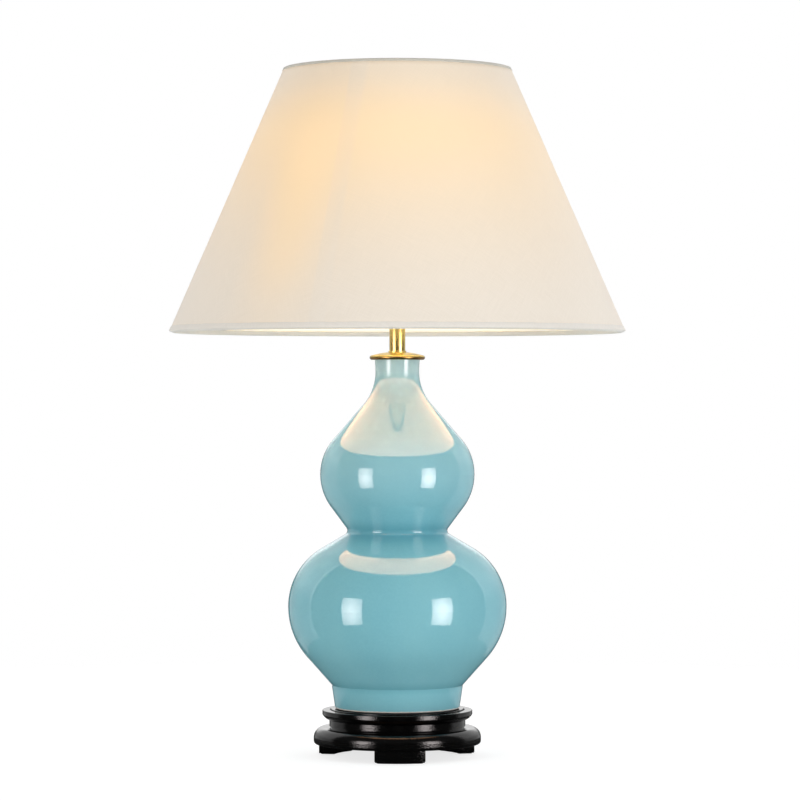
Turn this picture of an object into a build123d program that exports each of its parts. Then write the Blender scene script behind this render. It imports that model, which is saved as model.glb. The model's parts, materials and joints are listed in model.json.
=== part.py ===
from build123d import *
from math import acos, atan2, cos, degrees, hypot, radians, sin
import os

# Double gourd table lamp, in millimetres, +Z up, front towards -Y.
# The origin is on the table, under the middle of the stand.

# Fits
screw_gap = 0.05  # plain shank in a plain bore, standing for a thread
pivot_gap = 0.08  # turning pin in its hole
socket_gap = 0.35  # screw cap in the screw shell
slip_gap = 0.3  # between loose concentric pieces
face_gap = 0.1  # between faces that turn on each other
lift_gap = 0.4  # spider hole round the stud
glue_gap = 0.02  # between a wire and the cloth round it

# Stand of black lacquered wood, its rings and feet set in from the apron's edge
felt_thickness = 0.8
felt_inset = 1.6
foot_count = 3
foot_height = 12.6
foot_setback = 3.8
foot_width = 17.2
foot_sweep = 36.6
foot_corner = 2.0
apron_thickness = 18.0
apron_radius = 84.0
apron_undercut = 3.0
apron_round = 10.0
apron_slope = 1.2
waist_setback = 15.6
waist_thickness = 6.1
waist_wall = 12.4
seat_overhang = 7.0
seat_thickness = 11.0
seat_lip_drop = 1.0
seat_lip_width = 7.6
seat_side_height = 4.5
seat_under_curve = 12.0
seat_groove_width = 1.2
seat_groove_depth = 1.2
seat_edge_round = 0.8

# Double gourd body of glazed ceramic, each rise counted from the height before it
# A slack is how much shorter a curve's radius is than the rise that it lies in
ceramic_wall = 6.5
foot_ring_radius = 62.6
foot_ring_width = 8.6
foot_ring_recess = 2.5
foot_shoulder_radius = 66.0
foot_shoulder_rise = 23.0
foot_edge_round = 1.0
lower_radius = 109.8
lower_rise = 78.8
lower_under_slack = 1.3
lower_over_slack = 7.0
pinch_radius = 48.5
pinch_rise = 75.0
pinch_fillet = 4.0
upper_radius = 77.6
upper_rise = 57.7
upper_under_slack = 1.7
upper_over_curve = 54.0
neck_radius = 22.0
neck_rise = 102.5
neck_curve = 48.0
rim_radius = 22.9
rim_rise = 14.9
gasket_thickness = 0.8
gasket_inset = 1.2

# Cap on the neck, and the tube above it
cap_radius = 27.8
cap_bead = 2.3
cap_crown_radius = 9.6
cap_crown_height = 4.2
cap_dome_curve = 95.0
cap_spigot_depth = 3.0
cap_spigot_gap = 0.6
tube_radius = 8.0
tube_wall = 1.0
tube_length = 74.0
tube_flange_radius = 9.0
tube_flange_height = 1.5
tube_spigot_height = 4.0
tube_end_thickness = 1.5

# Hollow threaded rod from under the stand to the socket, and its nuts
rod_radius = 5.0
rod_bore_radius = 3.3
rod_below_nut = 2.0
rod_in_socket = 7.0
rod_hole_gap = 1.5
washer_radius = 20.0
washer_thickness = 2.0
lock_washer_radius = 9.0
lock_washer_thickness = 1.0
lock_washer_teeth = 12
lock_washer_tooth = 1.0
base_nut_width = 17.0
base_nut_thickness = 5.0
lock_nut_width = 14.0
lock_nut_thickness = 4.0

# Bush for the lead, in the back of the stand
lead_bore_radius = 3.25
bush_radius = 4.75
bush_flange_radius = 6.5
bush_flange_thickness = 1.5
bush_height = 21.0
bush_seat_depth = 2.4
bush_tail = 2.0

# Harp saddle, and the harp that drops into it
saddle_thickness = 2.0
saddle_width = 12.0
saddle_tongue_width = 4.0
saddle_tongue_thickness = 1.5
saddle_tongue_height = 13.5
harp_wire_radius = 1.8
harp_height = 177.8
harp_foot_spread = 23.0
harp_foot_length = 15.0
harp_foot_rise = 2.5
harp_bow = 56.0
harp_flare_height = 70.0
harp_shoulder = 46.0
harp_plate_length = 26.0
harp_plate_width = 11.0
harp_plate_cover = 0.2
sleeve_wall = 0.8
sleeve_length = 13.5
stud_pin_radius = 2.4
stud_head_radius = 4.2
stud_head_thickness = 1.2
stud_flange_radius = 8.0
stud_flange_thickness = 2.0
stud_thread_radius = 3.2
stud_thread_length = 12.0

# Brass socket with a turn switch
socket_height = 58.0
socket_cap_height = 20.0
socket_cap_radius = 17.0
socket_cap_wall = 0.9
socket_hub_radius = 8.5
socket_hub_height = 7.0
shell_wall = 0.6
shell_overlap = 6.0
shell_bead = 0.9
liner_wall = 0.8
screw_shell_wall = 0.5
screw_shell_height = 24.0
socket_core_start = 9.0
socket_core_height = 22.0
socket_core_bevel = 3.0
contact_thickness = 0.6
contact_width = 5.0
contact_length = 12.0
contact_rise = 2.0
contact_taper = 20.0
terminal_screw_radius = 2.6
terminal_screw_height = 1.5
terminal_slot_width = 0.65
terminal_slot_depth = 0.75
terminal_recess = 3.2
terminal_notch_width = 10.4
terminal_notch_height = 11.0
set_screw_radius = 1.6
set_screw_height = 3.5
set_screw_head_radius = 2.4
set_screw_head_height = 1.6
set_screw_slot_width = 0.8
set_screw_slot_depth = 0.8
spindle_radius = 1.9
spindle_reach = 30.0
spindle_height = 23.0
spindle_start = 5.0
knob_radius = 6.0
knob_length = 13.0
knob_taper = 3.0
knob_stand_off = 4.0
knob_flutes = 12
knob_flute_radius = 0.8

# Screw-in bulb
bulb_cap_radius = 12.9
bulb_cap_height = 22.0
bulb_cap_wall = 0.5
bulb_insulator_height = 4.0
bulb_insulator_radius = 9.0
bulb_tip_radius = 4.5
bulb_tip_height = 1.5
bulb_radius = 30.0
bulb_length = 108.0
bulb_glass_wall = 0.8
bulb_neck_curve = 28.0
bulb_neck_rise = 8.0
bulb_stem_radius = 4.0
bulb_stem_height = 26.0
filament_count = 4
filament_radius = 0.9
filament_length = 32.0
filament_circle = 7.0
filament_wire_radius = 0.4
filament_lead = 6.0

# Cloth shade
shade_top_radius = 114.25
shade_bottom_radius = 228.5
shade_height = 262.6
shade_bottom_height = 427.0
cloth_thickness = 0.6
lining_thickness = 0.4
ring_wire_radius = 1.5
ring_edge_gap = 0.5
trim_thickness = 0.5
trim_width = 5.0  # inside the shade, and outside its bottom edge
top_trim_face = 2.5  # outside the shade's top edge
spider_arms = 3
spider_arm_radius = 1.6
spider_arm_bend = 66.0
spider_bend_radius = 14.0
spider_hub_radius = 11.0
spider_hub_thickness = 2.0

# Finial
finial_base_radius = 7.5
finial_base_height = 3.0
finial_neck_radius = 4.6
finial_ball_radius = 8.6
finial_tip_radius = 3.0
finial_height = 31.0
finial_bore_spare = 2.0

# Heights that follow from the sizes above
apron_top = foot_height + apron_thickness
seat_bottom = apron_top + waist_thickness
seat_top = seat_bottom + seat_thickness
body_bottom = seat_top + gasket_thickness
foot_shoulder_height = body_bottom + foot_shoulder_rise
lower_height = foot_shoulder_height + lower_rise
pinch_height = lower_height + pinch_rise
upper_height = pinch_height + upper_rise
neck_height = upper_height + neck_rise
body_top = neck_height + rim_rise
lower_under_curve = lower_rise - lower_under_slack
lower_over_curve = pinch_rise - lower_over_slack
upper_under_curve = upper_rise - upper_under_slack
cap_bottom = body_top + gasket_thickness
cap_top = cap_bottom + cap_crown_height
tube_bottom = cap_top + tube_flange_height
tube_top = tube_bottom + tube_length
lock_nut_bottom = tube_top + tube_end_thickness
saddle_bottom = lock_nut_bottom + lock_nut_thickness
socket_bottom = saddle_bottom + saddle_thickness
socket_top = socket_bottom + socket_height
core_top = socket_bottom + socket_core_start + socket_core_height
bulb_bottom = core_top + contact_thickness + contact_rise + face_gap
bulb_top = bulb_bottom + bulb_length
harp_plate_thickness = 2 * (harp_wire_radius + harp_plate_cover)
hub_bottom = saddle_bottom + harp_height
hub_top = hub_bottom + spider_hub_thickness
flange_bottom = hub_bottom - stud_flange_thickness
harp_top = flange_bottom - face_gap - harp_plate_thickness / 2
washer_bottom = seat_bottom - washer_thickness
lock_washer_bottom = washer_bottom - lock_washer_thickness
base_nut_bottom = lock_washer_bottom - base_nut_thickness
rod_bottom = base_nut_bottom - rod_below_nut
rod_top = socket_bottom + rod_in_socket

foot_outer_radius = apron_radius - foot_setback
foot_inner_radius = foot_outer_radius - foot_width
waist_radius = apron_radius - waist_setback
seat_radius = waist_radius + seat_overhang
nut_bore_radius = rod_radius + screw_gap
wood_bore_radius = rod_radius + rod_hole_gap
neck_bore_radius = neck_radius - ceramic_wall
shell_radius = socket_cap_radius - socket_cap_wall - screw_gap
liner_radius = shell_radius - shell_wall - screw_gap
core_radius = liner_radius - liner_wall - screw_gap
screw_shell_radius = bulb_cap_radius + socket_gap + screw_shell_wall
shade_top_height = shade_bottom_height + shade_height
tongue_inner = harp_foot_spread + harp_wire_radius + slip_gap
tongue_outer = tongue_inner + saddle_tongue_thickness
sleeve_center = (harp_foot_spread - harp_wire_radius + tongue_outer) / 2
sleeve_bore = hypot(tongue_outer - sleeve_center, saddle_tongue_width / 2) + slip_gap
cone_angle = atan2(shade_bottom_radius - shade_top_radius, shade_height)
cone_length = hypot(shade_bottom_radius - shade_top_radius, shade_height)
panel_thickness = cloth_thickness + lining_thickness
foot_angles = [-90 + 360 / foot_count * step for step in range(foot_count)]
arm_angles = [90 + 360 / spider_arms * step for step in range(spider_arms)]

os.makedirs("parts", exist_ok=True)


def save(piece, name):
    piece.part.label = name
    export_step(piece.part, f"parts/{name}.step")


def upright(angle):
    """Plane through the Z axis whose X runs outwards at this angle."""
    out = radians(angle)
    return Plane(
        origin=(0, 0, 0),
        x_dir=(cos(out), sin(out), 0),
        z_dir=(sin(out), -cos(out), 0),
    )


def touch_angle(point, center, radius, turn):
    """Angle on a circle at which a line from the point touches it."""
    run = point[0] - center[0]
    rise = point[1] - center[1]
    spread = degrees(acos(radius / hypot(run, rise)))
    return degrees(atan2(rise, run)) + turn * spread


def crossing_angle(center, radius, other_center, other_radius):
    """Angle on the first circle of the line that passes between the two."""
    run = other_center[0] - center[0]
    rise = other_center[1] - center[1]
    spread = degrees(acos((radius + other_radius) / hypot(run, rise)))
    return degrees(atan2(rise, run)) - spread


def on_shade(along, depth):
    """Radius and height, from the top edge down the cone and inwards from its outside."""
    radius = shade_top_radius + along * sin(cone_angle) - depth * cos(cone_angle)
    height = shade_top_height - along * cos(cone_angle) - depth * sin(cone_angle)
    return radius, height


def arc_block(inner, outer, middle, sweep):
    """Face between two radii and two angles."""
    with BuildLine() as outline:
        far = CenterArc((0, 0), outer, middle - sweep / 2, sweep)
        near = CenterArc((0, 0), inner, middle - sweep / 2, sweep)
        Line(near @ 0, far @ 0)
        Line(near @ 1, far @ 1)
    make_face(outline.edges())


def ring(outer, inner, bottom, height):
    with BuildSketch(Plane.XY.offset(bottom)) as washer:
        Circle(outer)
        Circle(inner, mode=Mode.SUBTRACT)
    extrude(washer.sketch, amount=height)


def nut(width, bore, bottom, height):
    with BuildSketch(Plane.XY.offset(bottom)) as hexagon:
        RegularPolygon(width / 2, 6, major_radius=False)
        Circle(bore, mode=Mode.SUBTRACT)
    extrude(hexagon.sketch, amount=height)


def shade_strip(start, end, outer_depth, inner_depth):
    """Conical band between two lengths down the shade and two depths."""
    with BuildSketch(Plane.XZ) as band:
        with BuildLine():
            Polyline(
                on_shade(start, outer_depth),
                on_shade(end, outer_depth),
                on_shade(end, inner_depth),
                on_shade(start, inner_depth),
                close=True,
            )
        make_face()
    revolve(band.sketch, axis=Axis.Z)


def wire_loop(along, depth):
    """Round wire ring at a length down the shade and a depth inside it."""
    with BuildSketch(Plane.XZ) as section:
        with Locations(on_shade(along, depth)):
            Circle(ring_wire_radius)
    revolve(section.sketch, axis=Axis.Z)


# ---------------------------------------------------------------- stand

for number, angle in enumerate(foot_angles, start=1):
    felt_turn = degrees(felt_inset / foot_outer_radius)
    with BuildPart() as felt_pad:
        with BuildSketch():
            arc_block(
                foot_inner_radius + felt_inset,
                foot_outer_radius - felt_inset,
                angle,
                foot_sweep - 2 * felt_turn,
            )
        extrude(amount=felt_thickness)
    save(felt_pad, f"felt_pad_{number}")

with BuildPart() as stand_apron:
    with BuildSketch(Plane.XZ):
        with BuildLine():
            rise_end = (apron_radius - apron_round, apron_top - apron_slope)
            round_end = (apron_radius, apron_top - apron_slope - apron_round)
            Line((foot_inner_radius, foot_height), (foot_inner_radius, apron_top))
            Line((foot_inner_radius, apron_top), (waist_radius, apron_top))
            Line((waist_radius, apron_top), rise_end)
            RadiusArc(rise_end, round_end, apron_round)
            undercut_start = (apron_radius, foot_height + apron_undercut)
            undercut_end = (apron_radius - apron_undercut, foot_height)
            Line(round_end, undercut_start)
            RadiusArc(undercut_start, undercut_end, apron_undercut)
            Line(undercut_end, (foot_inner_radius, foot_height))
        make_face()
    revolve(axis=Axis.Z)
    for angle in foot_angles:
        with BuildSketch(Plane.XY.offset(felt_thickness)):
            arc_block(foot_inner_radius, foot_outer_radius, angle, foot_sweep)
        extrude(amount=foot_height - felt_thickness)
    foot_ends = (
        stand_apron.edges()
        .filter_by(GeomType.LINE)
        .group_by(Axis.Z)[0]
    )
    fillet(foot_ends, foot_corner)
    with BuildSketch(Plane.XZ.offset(-apron_radius + bush_seat_depth)):
        with Locations((0, bush_height)):
            Circle(bush_flange_radius + slip_gap)
    extrude(amount=-2 * bush_seat_depth, mode=Mode.SUBTRACT)
    with BuildSketch(Plane.XZ):
        with Locations((0, bush_height)):
            Circle(bush_radius + screw_gap)
    extrude(amount=-apron_radius, mode=Mode.SUBTRACT)
save(stand_apron, "stand_apron")

with BuildPart() as stand_waist:
    ring(waist_radius, waist_radius - waist_wall, apron_top, waist_thickness)
save(stand_waist, "stand_waist")

with BuildPart() as stand_seat:
    with BuildSketch(Plane.XZ):
        lip_top = seat_top - seat_lip_drop
        lip_inner = seat_radius - seat_lip_width
        side_bottom = lip_top - seat_side_height
        with BuildLine():
            Polyline(
                (wood_bore_radius, seat_bottom),
                (wood_bore_radius, seat_top),
                (lip_inner - seat_groove_width, seat_top),
                (lip_inner - seat_groove_width, lip_top - seat_groove_depth),
                (lip_inner, lip_top - seat_groove_depth),
                (lip_inner, lip_top),
                (seat_radius, lip_top),
                (seat_radius, side_bottom),
            )
            RadiusArc(
                (seat_radius, side_bottom),
                (waist_radius, seat_bottom),
                seat_under_curve,
            )
            Line((waist_radius, seat_bottom), (wood_bore_radius, seat_bottom))
        make_face()
    revolve(axis=Axis.Z)
    seat_circles = stand_seat.edges().filter_by(GeomType.CIRCLE).group_by(Axis.Z)
    floor_edge = seat_circles[-1].sort_by(SortBy.RADIUS)[-1]
    lip_edge = seat_circles[-2].sort_by(SortBy.RADIUS)[-1]
    fillet([floor_edge, lip_edge], seat_edge_round)
save(stand_seat, "stand_seat")

with BuildPart() as cord_bush:
    flange_seat = apron_radius - bush_seat_depth
    with BuildSketch(Plane.XZ.offset(-foot_inner_radius + bush_tail)):
        with Locations((0, bush_height)):
            Circle(bush_radius)
    extrude(amount=foot_inner_radius - bush_tail - flange_seat)
    with BuildSketch(Plane.XZ.offset(-flange_seat)):
        with Locations((0, bush_height)):
            Circle(bush_flange_radius)
    extrude(amount=-bush_flange_thickness)
    with BuildSketch(Plane.XZ):
        with Locations((0, bush_height)):
            Circle(lead_bore_radius)
    extrude(amount=-apron_radius, mode=Mode.SUBTRACT)
save(cord_bush, "cord_bush")

# ---------------------------------------------------------------- rod and its nuts

with BuildPart() as base_washer:
    ring(washer_radius, nut_bore_radius, washer_bottom, washer_thickness)
save(base_washer, "base_washer")

with BuildPart() as lock_washer:
    ring(lock_washer_radius, nut_bore_radius, lock_washer_bottom, lock_washer_thickness)
    with BuildSketch(Plane.XY.offset(lock_washer_bottom)):
        with PolarLocations(lock_washer_radius, lock_washer_teeth):
            Rectangle(2 * lock_washer_tooth, lock_washer_tooth)
    extrude(amount=lock_washer_thickness)
save(lock_washer, "lock_washer")

with BuildPart() as base_nut:
    nut(base_nut_width, nut_bore_radius, base_nut_bottom, base_nut_thickness)
save(base_nut, "base_nut")

with BuildPart() as threaded_rod:
    ring(rod_radius, rod_bore_radius, rod_bottom, rod_top - rod_bottom)
save(threaded_rod, "threaded_rod")

# ---------------------------------------------------------------- ceramic body


def gourd_half():
    """Right half of the outside of the gourd, closed along the axis."""
    foot_shoulder = (foot_shoulder_radius, foot_shoulder_height)
    pinch = (pinch_radius, pinch_height)
    under = (lower_radius - lower_under_curve, lower_height)
    over = (lower_radius - lower_over_curve, lower_height)
    upper_under = (upper_radius - upper_under_curve, upper_height)
    upper_over = (upper_radius - upper_over_curve, upper_height)
    neck = (neck_radius + neck_curve, neck_height)
    under_turn = touch_angle(foot_shoulder, under, lower_under_curve, 1)
    over_turn = touch_angle(pinch, over, lower_over_curve, -1)
    upper_under_turn = touch_angle(pinch, upper_under, upper_under_curve, 1)
    neck_turn = crossing_angle(upper_over, upper_over_curve, neck, neck_curve)
    with BuildLine() as outline:
        Line((0, body_bottom), (foot_ring_radius, body_bottom))
        Line((foot_ring_radius, body_bottom), foot_shoulder)
        belly_under = CenterArc(under, lower_under_curve, under_turn, -under_turn)
        Line(foot_shoulder, belly_under @ 0)
        belly_over = CenterArc(over, lower_over_curve, 0, over_turn)
        Line(belly_over @ 1, pinch)
        bulb_under = CenterArc(upper_under, upper_under_curve, upper_under_turn, -upper_under_turn)
        Line(pinch, bulb_under @ 0)
        bulb_over = CenterArc(upper_over, upper_over_curve, 0, neck_turn)
        throat = CenterArc(neck, neck_curve, 180 + neck_turn, -neck_turn)
        Line(bulb_over @ 1, throat @ 0)
        TangentArc(throat @ 1, (rim_radius, body_top), tangent=(0, 1))
        Line((rim_radius, body_top), (0, body_top))
        Line((0, body_top), (0, body_bottom))
    make_face(outline.edges())


def near(shape, radius, height):
    return shape.vertices().sort_by_distance((radius, height))[0]


with BuildSketch(Plane.XZ) as gourd:
    gourd_half()
    fillet(near(gourd, pinch_radius, pinch_height), pinch_fillet)
    fillet(near(gourd, foot_ring_radius, body_bottom), foot_edge_round)

with BuildSketch(Plane.XZ) as gourd_inside:
    gourd_half()
    fillet(near(gourd_inside, pinch_radius, pinch_height), pinch_fillet)
    mirror(about=Plane.YZ)
    offset(amount=-ceramic_wall, kind=Kind.INTERSECTION, mode=Mode.REPLACE)
    split(bisect_by=Plane.YZ)

with BuildPart() as ceramic_body:
    add(gourd.sketch)
    revolve(axis=Axis.Z)
    add(gourd_inside.sketch)
    revolve(axis=Axis.Z, mode=Mode.SUBTRACT)
    with BuildSketch(Plane.XY.offset(body_top)):
        Circle(neck_bore_radius)
    extrude(amount=-2 * ceramic_wall, mode=Mode.SUBTRACT)
    with BuildSketch(Plane.XY.offset(body_bottom)):
        Circle(wood_bore_radius)
    extrude(amount=2 * ceramic_wall, mode=Mode.SUBTRACT)
    with BuildSketch(Plane.XY.offset(body_bottom)):
        Circle(foot_ring_radius - foot_ring_width)
    extrude(amount=foot_ring_recess, mode=Mode.SUBTRACT)
save(ceramic_body, "ceramic_body")

with BuildPart() as foot_gasket:
    ring(
        foot_ring_radius - foot_edge_round - gasket_inset,
        foot_ring_radius - foot_ring_width + gasket_inset,
        seat_top,
        gasket_thickness,
    )
save(foot_gasket, "foot_gasket")

with BuildPart() as neck_gasket:
    ring(
        rim_radius - gasket_inset,
        neck_bore_radius + gasket_inset,
        body_top,
        gasket_thickness,
    )
save(neck_gasket, "neck_gasket")

# ---------------------------------------------------------------- cap and tube

with BuildPart() as vase_cap:
    bead_center = cap_radius - cap_bead
    with BuildSketch(Plane.XZ):
        with BuildLine():
            Line((nut_bore_radius, cap_bottom), (bead_center, cap_bottom))
            Line((bead_center, cap_bottom), (bead_center, cap_bottom + cap_bead / 2))
            RadiusArc(
                (bead_center, cap_bottom + cap_bead / 2),
                (cap_crown_radius, cap_top),
                -cap_dome_curve,
            )
            Line((cap_crown_radius, cap_top), (nut_bore_radius, cap_top))
            Line((nut_bore_radius, cap_top), (nut_bore_radius, cap_bottom))
        make_face()
        with Locations((bead_center, cap_bottom - cap_bead / 2)):
            Circle(cap_bead)
    revolve(axis=Axis.Z)
    ring(
        neck_bore_radius - cap_spigot_gap,
        nut_bore_radius,
        cap_bottom - gasket_thickness - cap_spigot_depth,
        gasket_thickness + cap_spigot_depth,
    )
save(vase_cap, "vase_cap")

tube_bore_radius = tube_radius - tube_wall

with BuildPart() as tube_seat:
    ring(tube_flange_radius, nut_bore_radius, cap_top, tube_flange_height)
    fillet(
        tube_seat.edges().filter_by(GeomType.CIRCLE).group_by(Axis.Z)[-1].sort_by(SortBy.RADIUS)[-1],
        tube_flange_height / 2,
    )
    ring(tube_bore_radius - screw_gap, nut_bore_radius, tube_bottom, tube_spigot_height)
save(tube_seat, "tube_seat")

with BuildPart() as neck_tube:
    ring(tube_radius, tube_bore_radius, tube_bottom, tube_length)
save(neck_tube, "neck_tube")

with BuildPart() as tube_end:
    ring(tube_radius, nut_bore_radius, tube_top, tube_end_thickness)
    ring(
        tube_bore_radius - screw_gap,
        nut_bore_radius,
        tube_top - tube_spigot_height,
        tube_spigot_height,
    )
save(tube_end, "tube_end")

with BuildPart() as tube_lock_nut:
    nut(lock_nut_width, nut_bore_radius, lock_nut_bottom, lock_nut_thickness)
save(tube_lock_nut, "tube_lock_nut")

# ---------------------------------------------------------------- saddle and harp

with BuildPart() as harp_saddle:
    with BuildSketch(Plane.XY.offset(saddle_bottom)):
        SlotOverall(2 * tongue_outer - saddle_tongue_width, saddle_width)
        Rectangle(2 * tongue_outer, saddle_tongue_width)
        Circle(nut_bore_radius, mode=Mode.SUBTRACT)
    extrude(amount=saddle_thickness)
    for side in (-1, 1):
        tongue_middle = side * (tongue_inner + tongue_outer) / 2
        with BuildSketch(Plane.XY.offset(saddle_bottom)):
            with Locations((tongue_middle, 0)):
                Rectangle(saddle_tongue_thickness, saddle_tongue_width)
        extrude(amount=saddle_tongue_height)
save(harp_saddle, "harp_saddle")

with BuildPart() as harp:
    foot_bottom = socket_bottom + harp_foot_rise
    flare_bottom = foot_bottom + harp_foot_length
    flare_top = flare_bottom + harp_flare_height
    flare_middle = ((harp_foot_spread + harp_bow) / 2, (flare_bottom + flare_top) / 2)
    with BuildLine(Plane.XZ) as harp_path:
        Line((harp_foot_spread, foot_bottom), (harp_foot_spread, flare_bottom))
        flare = TangentArc((harp_foot_spread, flare_bottom), flare_middle, tangent=(0, 1))
        TangentArc(flare_middle, (harp_bow, flare_top), tangent=flare % 1)
        Line((harp_bow, flare_top), (harp_bow, harp_top - harp_shoulder))
        CenterArc((harp_bow - harp_shoulder, harp_top - harp_shoulder), harp_shoulder, 0, 90)
        Line((harp_bow - harp_shoulder, harp_top), (0, harp_top))
        mirror(about=Plane.YZ)
    with BuildSketch(Plane.XY.offset(foot_bottom)):
        with Locations((harp_foot_spread, 0)):
            Circle(harp_wire_radius)
    sweep(path=harp_path.wire())
    with BuildSketch(Plane.XY.offset(harp_top)):
        SlotOverall(harp_plate_length, harp_plate_width)
    extrude(amount=harp_plate_thickness / 2, both=True)
    with BuildSketch(Plane.XY.offset(harp_top)):
        Circle(stud_pin_radius + pivot_gap)
    extrude(amount=harp_plate_thickness, both=True, mode=Mode.SUBTRACT)
save(harp, "harp")

for side, name in ((-1, "harp_sleeve_left"), (1, "harp_sleeve_right")):
    with BuildPart() as harp_sleeve:
        with BuildSketch(Plane.XY.offset(socket_bottom)):
            with Locations((side * sleeve_center, 0)):
                Circle(sleeve_bore + sleeve_wall)
                Circle(sleeve_bore, mode=Mode.SUBTRACT)
        extrude(amount=sleeve_length)
    save(harp_sleeve, name)

with BuildPart() as harp_stud:
    head_top = harp_top - harp_plate_thickness / 2 - face_gap
    with BuildSketch(Plane.XY.offset(head_top - stud_head_thickness)):
        Circle(stud_head_radius)
    extrude(amount=stud_head_thickness)
    with BuildSketch(Plane.XY.offset(head_top)):
        Circle(stud_pin_radius)
    extrude(amount=flange_bottom - head_top)
    with BuildSketch(Plane.XY.offset(flange_bottom)):
        Circle(stud_flange_radius)
    extrude(amount=stud_flange_thickness)
    with BuildSketch(Plane.XY.offset(hub_bottom)):
        Circle(stud_thread_radius)
    extrude(amount=stud_thread_length)
save(harp_stud, "harp_stud")

# ---------------------------------------------------------------- socket

with BuildPart() as socket_cap:
    skirt_bore = socket_cap_radius - socket_cap_wall
    hub_shoulder = socket_bottom + socket_hub_height
    skirt_bottom = hub_shoulder + (socket_cap_radius - socket_hub_radius) / 2
    cap_end = socket_bottom + socket_cap_height
    with BuildSketch(Plane.XZ):
        with BuildLine():
            Polyline(
                (nut_bore_radius, socket_bottom),
                (socket_hub_radius, socket_bottom),
                (socket_hub_radius, hub_shoulder - socket_cap_wall),
                (socket_cap_radius, skirt_bottom - socket_cap_wall),
                (socket_cap_radius, cap_end),
                (skirt_bore, cap_end),
                (skirt_bore, skirt_bottom),
                (socket_hub_radius, hub_shoulder),
                (nut_bore_radius, hub_shoulder),
                close=True,
            )
        make_face()
    revolve(axis=Axis.Z)
    with BuildSketch(Plane.XZ):
        with Locations((0, socket_bottom + set_screw_height)):
            Circle(set_screw_radius + screw_gap)
    extrude(amount=-2 * socket_hub_radius, mode=Mode.SUBTRACT)
save(socket_cap, "socket_cap")

with BuildPart() as socket_set_screw:
    with BuildSketch(Plane.XZ.offset(-nut_bore_radius)):
        with Locations((0, socket_bottom + set_screw_height)):
            Circle(set_screw_radius)
    extrude(amount=-(socket_hub_radius - nut_bore_radius))
    with BuildSketch(Plane.XZ.offset(-socket_hub_radius)):
        with Locations((0, socket_bottom + set_screw_height)):
            Circle(set_screw_head_radius)
    extrude(amount=-set_screw_head_height)
    with BuildSketch(Plane.XZ.offset(-socket_hub_radius - set_screw_head_height)):
        with Locations((0, socket_bottom + set_screw_height)):
            Rectangle(2 * set_screw_head_radius, set_screw_slot_width)
    extrude(amount=set_screw_slot_depth, mode=Mode.SUBTRACT)
save(socket_set_screw, "socket_set_screw")

shell_bottom = socket_bottom + socket_cap_height - shell_overlap
switch_height = socket_bottom + spindle_height


def spindle_hole(radius):
    with BuildSketch(Plane.XZ) as hole:
        with Locations((0, switch_height)):
            Circle(radius)
    extrude(hole.sketch, amount=2 * socket_cap_radius, mode=Mode.SUBTRACT)


with BuildPart() as socket_shell:
    ring(shell_radius, shell_radius - shell_wall, shell_bottom, socket_top - shell_bottom)
    with BuildSketch(Plane.XZ):
        with Locations((shell_radius, socket_top - shell_bead)):
            Circle(shell_bead)
    revolve(axis=Axis.Z)
    spindle_hole(spindle_radius + slip_gap)
save(socket_shell, "socket_shell")

with BuildPart() as insulating_sleeve:
    ring(liner_radius, liner_radius - liner_wall, shell_bottom, socket_top - 2 * shell_bead - shell_bottom)
    spindle_hole(spindle_radius + slip_gap)
save(insulating_sleeve, "insulating_sleeve")

core_bottom = socket_bottom + socket_core_start
terminal_x = core_radius - terminal_recess

with BuildPart() as socket_core:
    with BuildSketch(Plane.XY.offset(core_bottom)):
        Circle(core_radius)
    extrude(amount=socket_core_height)
    chamfer(socket_core.edges().group_by(Axis.Z)[0], socket_core_bevel)
    for side in (-1, 1):
        with BuildSketch(Plane.XY.offset(core_bottom)):
            with Locations((side * (terminal_x + terminal_recess), 0)):
                Rectangle(2 * terminal_recess, terminal_notch_width)
        extrude(amount=terminal_notch_height, mode=Mode.SUBTRACT)
    spindle_hole(spindle_radius + pivot_gap)
save(socket_core, "socket_core")

with BuildPart() as terminal_screws:
    terminal_height = core_bottom + terminal_notch_height / 2
    for side in (-1, 1):
        with BuildSketch(Plane.YZ.offset(side * terminal_x)):
            with Locations((0, terminal_height)):
                Circle(terminal_screw_radius)
        extrude(amount=side * terminal_screw_height)
        with BuildSketch(Plane.YZ.offset(side * (terminal_x + terminal_screw_height))):
            with Locations((0, terminal_height)):
                Rectangle(2 * terminal_screw_radius, terminal_slot_width)
        extrude(amount=-side * terminal_slot_depth, mode=Mode.SUBTRACT)
save(terminal_screws, "terminal_screws")

with BuildPart() as screw_shell:
    ring(screw_shell_radius, screw_shell_radius - screw_shell_wall, core_top, screw_shell_height)
save(screw_shell, "screw_shell")

with BuildPart() as center_contact:
    with BuildSketch(Plane.XY.offset(core_top)):
        Rectangle(contact_length, contact_width)
    extrude(amount=contact_thickness)
    with BuildSketch(Plane.XY.offset(core_top + contact_thickness)):
        Circle(contact_width / 2)
    extrude(amount=contact_rise, taper=contact_taper)
save(center_contact, "center_contact")

with BuildPart() as switch_spindle:
    with BuildSketch(Plane.XZ.offset(spindle_start)):
        with Locations((0, switch_height)):
            Circle(spindle_radius)
    extrude(amount=spindle_reach - spindle_start)
save(switch_spindle, "switch_spindle")

with BuildPart() as switch_knob:
    knob_start = shell_radius + knob_stand_off
    with BuildSketch(Plane.XZ.offset(knob_start)):
        with Locations((0, switch_height)):
            Circle(knob_radius)
            with PolarLocations(knob_radius, knob_flutes):
                Circle(knob_flute_radius, mode=Mode.SUBTRACT)
    extrude(amount=knob_length, taper=knob_taper)
    with BuildSketch(Plane.XZ.offset(knob_start)):
        with Locations((0, switch_height)):
            Circle(spindle_radius + screw_gap)
    extrude(amount=spindle_reach - knob_start + screw_gap, mode=Mode.SUBTRACT)
save(switch_knob, "switch_knob")

# ---------------------------------------------------------------- bulb

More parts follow.
